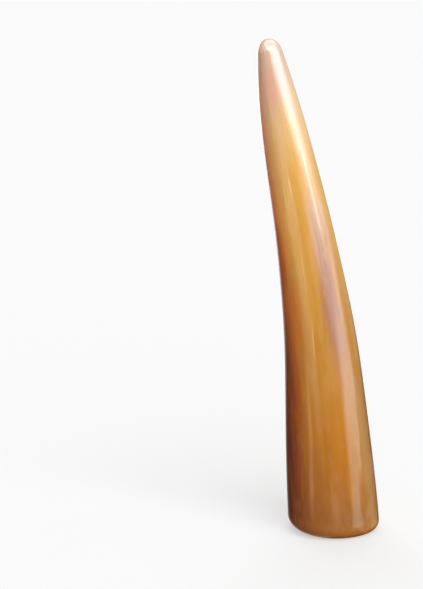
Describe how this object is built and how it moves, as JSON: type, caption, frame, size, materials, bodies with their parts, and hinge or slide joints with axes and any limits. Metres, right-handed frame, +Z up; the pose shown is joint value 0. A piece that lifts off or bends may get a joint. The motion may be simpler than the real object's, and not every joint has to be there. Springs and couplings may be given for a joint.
{
  "type": "buffalo horn",
  "caption": "Polished buffalo horn with a gentle sideways sweep and a blunt rounded tip, cut flat with a rounded rim at its wide end so that it stands upright.",
  "frame": {"origin": "on the flat cut face at the wide end, where the horn's centre line meets it", "axes": "+Z up from the cut face towards the tip; the horn sweeps towards -X and slightly towards +Y; its wider cross axis lies along X"},
  "size_m": [0.0638, 0.043, 0.2501],
  "materials": {
    "polished_horn": "gloss"
  },
  "bodies": {
    "root": {"horn": "polished_horn"}
  },
  "joints": []
}
